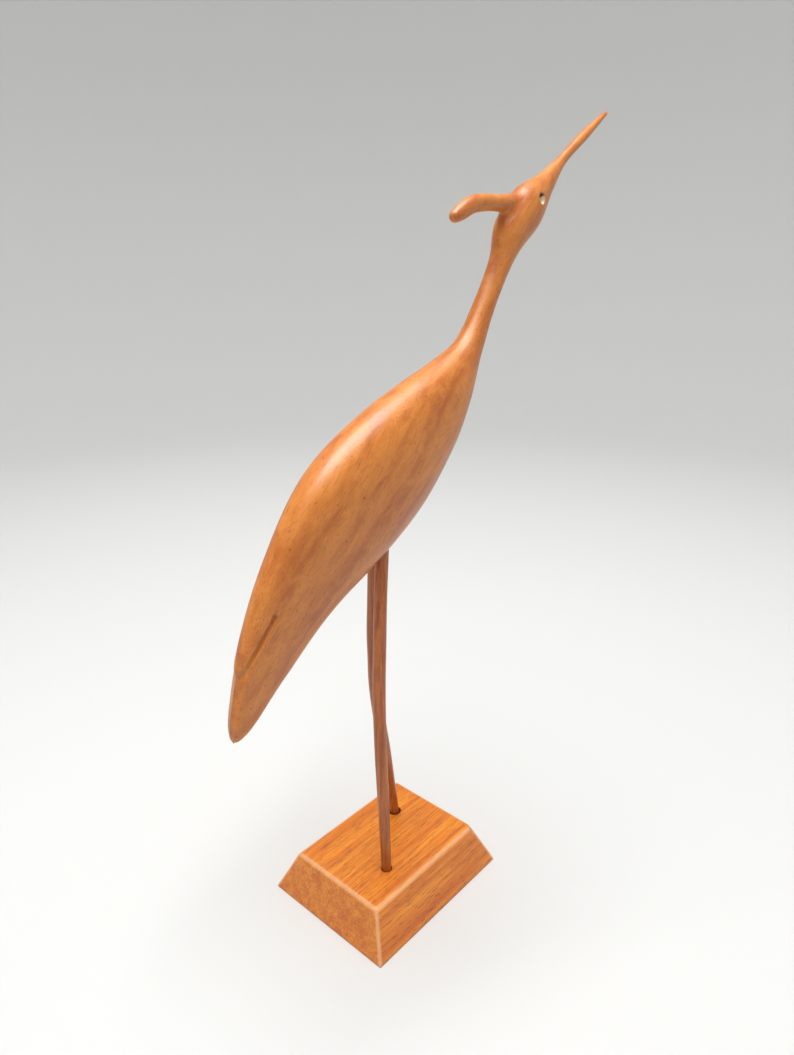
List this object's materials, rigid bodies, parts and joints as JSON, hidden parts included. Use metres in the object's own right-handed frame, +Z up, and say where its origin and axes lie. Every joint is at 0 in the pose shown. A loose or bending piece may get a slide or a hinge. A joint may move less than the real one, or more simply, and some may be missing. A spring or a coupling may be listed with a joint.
{
  "type": "wooden bird sculpture",
  "caption": "Carved wooden long-legged bird with a swept-back crest and raised bill, striding on thin rod legs set in a bevelled wooden block; a standing ornament.",
  "frame": {"origin": "centre of the base block's underside, which rests on the ground", "axes": "+X the way the bird faces, +Y its left side, +Z up"},
  "size_m": [0.2258, 0.0636, 0.3258],
  "materials": {
    "bird_wood": "satin",
    "leg_wood": "satin",
    "base_wood": "satin"
  },
  "bodies": {
    "root": {"bird": "bird_wood", "right_leg": "leg_wood", "left_leg": "leg_wood", "base": "base_wood"}
  },
  "joints": []
}
